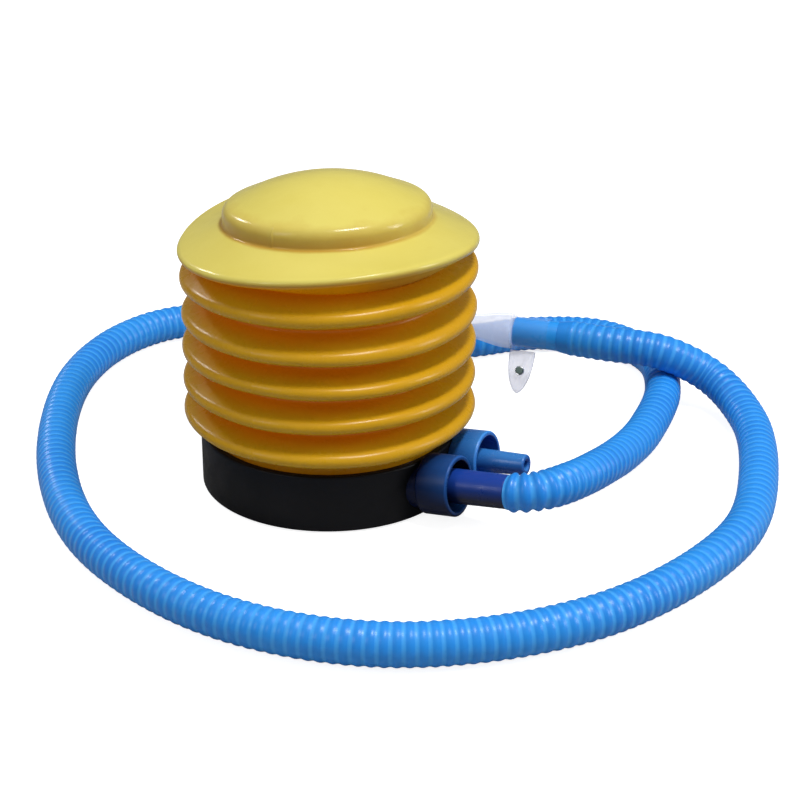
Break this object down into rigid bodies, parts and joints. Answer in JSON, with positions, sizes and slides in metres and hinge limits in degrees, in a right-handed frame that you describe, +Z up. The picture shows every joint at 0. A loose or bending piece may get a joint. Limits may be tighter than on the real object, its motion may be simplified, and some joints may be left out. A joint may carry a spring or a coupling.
{
  "type": "ball inflation pump",
  "caption": "Foot-operated bellows pump: black base cup, yellow folded bellows with a domed pedal, two blue check-valve ports and a looped blue hose with a clear end nozzle.",
  "frame": {"origin": "on the ground, under the centre of the round base", "axes": "+Z up along the bellows axis, +X the way both hose ports point"},
  "size_m": [0.3137, 0.301, 0.1205],
  "materials": {
    "black_plastic": "moulded, fine satin",
    "yellow_bellows": "blow moulded, soft gloss",
    "yellow_pedal": "blow moulded, gloss",
    "blue_port": "moulded, gloss",
    "blue_cuff": "soft vinyl, smooth",
    "blue_hose": "soft corrugated vinyl, slightly translucent",
    "clear_plastic": "milky clear vinyl",
    "natural_plastic": "natural moulded",
    "black_rubber": "matt",
    "plug_rubber": "matt",
    "steel": "zinc plated"
  },
  "bodies": {
    "base": {"base_cup": "black_plastic", "base_plate": "black_plastic", "base_gasket": "black_rubber", "foot_pad_1": "black_rubber", "foot_pad_2": "black_rubber", "foot_pad_3": "black_rubber", "foot_pad_4": "black_rubber", "base_screw_1": "steel", "base_screw_2": "steel", "base_screw_3": "steel", "base_screw_4": "steel", "bellows": "yellow_bellows", "bellows_clamp_ring": "natural_plastic", "spring_seat_lower": "natural_plastic", "return_spring": "steel", "outlet_port": "blue_port", "intake_port": "blue_port", "outlet_o_ring": "black_rubber", "intake_o_ring": "black_rubber", "outlet_valve_seat": "natural_plastic", "intake_valve_cage": "natural_plastic"},
    "pedal": {"pedal_top": "yellow_pedal", "spring_seat_upper": "natural_plastic"},
    "outlet_valve": {"outlet_valve_disc": "black_rubber"},
    "intake_valve": {"intake_valve_disc": "black_rubber"},
    "hose": {"hose_cuff": "blue_cuff", "hose": "blue_hose", "hose_end_cuff": "blue_hose"},
    "nozzle": {"nozzle_sleeve": "clear_plastic"},
    "tab": {"nozzle_tab": "clear_plastic", "tab_plug": "plug_rubber"}
  },
  "joints": [
    {"name": "pedal_press", "type": "slide", "parent": "base", "child": "pedal", "axis": [0, 0, -1], "range_m": [0, 0.042], "stiffness_N_per_m": 900, "deforming": ["bellows", "return_spring"]},
    {"name": "outlet_valve_lift", "type": "slide", "parent": "base", "child": "outlet_valve", "axis": [0.9921, 0, 0.1253], "range_m": [0, 0.0015]},
    {"name": "intake_valve_lift", "type": "slide", "parent": "base", "child": "intake_valve", "axis": [-0.9921, 0, -0.1253], "range_m": [0, 0.0015]},
    {"name": "hose_pull", "type": "slide", "parent": "base", "child": "hose", "axis": [0.9921, 0, 0.1253], "range_m": [0, 0.018]},
    {"name": "nozzle_pull", "type": "slide", "parent": "hose", "child": "nozzle", "axis": [-0.9848, -0.1736, 0], "range_m": [0, 0.016]},
    {"name": "tab_swing", "type": "hinge", "parent": "nozzle", "child": "tab", "pos_m": [0.03051, 0.11056, 0.01737], "axis": [-0.9848, -0.1736, 0], "range_deg": [-20, 28]}
  ]
}
